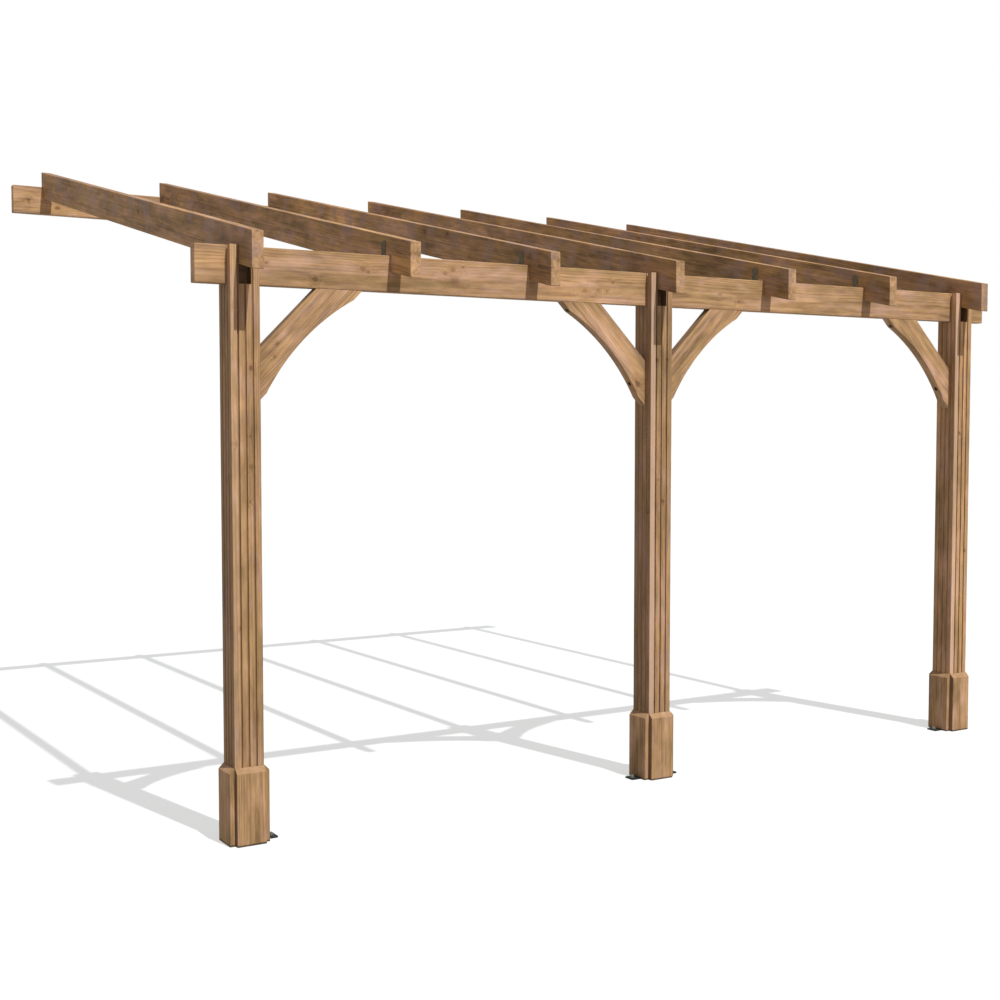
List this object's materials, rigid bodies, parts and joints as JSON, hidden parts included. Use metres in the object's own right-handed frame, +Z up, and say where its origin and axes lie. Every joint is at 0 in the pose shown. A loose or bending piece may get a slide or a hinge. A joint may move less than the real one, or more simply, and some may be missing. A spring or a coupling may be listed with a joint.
{
  "type": "wall-mounted timber pergola",
  "caption": "Lean-to garden pergola in stained softwood: grooved square posts with curved knee braces, a front beam, sloping notched rafters and a wall plate.",
  "frame": {"origin": "centre of the middle post's foot, on the ground", "axes": "+X along the front beam to the right seen from the open front, +Y from the posts towards the wall, +Z up"},
  "size_m": [4.35, 3.082, 3.0023],
  "materials": {
    "post_wood": "brown stained softwood, planed",
    "beam_wood": "brown stained softwood, planed",
    "rafter_wood": "brown stained softwood, planed",
    "brace_wood": "brown stained softwood, planed",
    "skirt_wood": "brown stained softwood, planed",
    "bracket_steel": "black coated, satin"
  },
  "bodies": {
    "root": {"left_post": "post_wood", "middle_post": "post_wood", "right_post": "post_wood", "front_beam": "beam_wood", "wall_plate": "beam_wood", "rafter_1": "rafter_wood", "rafter_2": "rafter_wood", "rafter_3": "rafter_wood", "rafter_4": "rafter_wood", "rafter_5": "rafter_wood", "rafter_6": "rafter_wood", "rafter_7": "rafter_wood", "left_post_brace_right": "brace_wood", "middle_post_brace_left": "brace_wood", "middle_post_brace_right": "brace_wood", "right_post_brace_left": "brace_wood", "left_skirt_front": "skirt_wood", "left_skirt_back": "skirt_wood", "left_skirt_left": "skirt_wood", "left_skirt_right": "skirt_wood", "middle_skirt_front": "skirt_wood", "middle_skirt_back": "skirt_wood", "middle_skirt_left": "skirt_wood", "middle_skirt_right": "skirt_wood", "right_skirt_front": "skirt_wood", "right_skirt_back": "skirt_wood", "right_skirt_left": "skirt_wood", "right_skirt_right": "skirt_wood", "left_post_bracket_right": "bracket_steel", "middle_post_bracket_left": "bracket_steel", "middle_post_bracket_right": "bracket_steel", "right_post_bracket_left": "bracket_steel"}
  },
  "joints": []
}
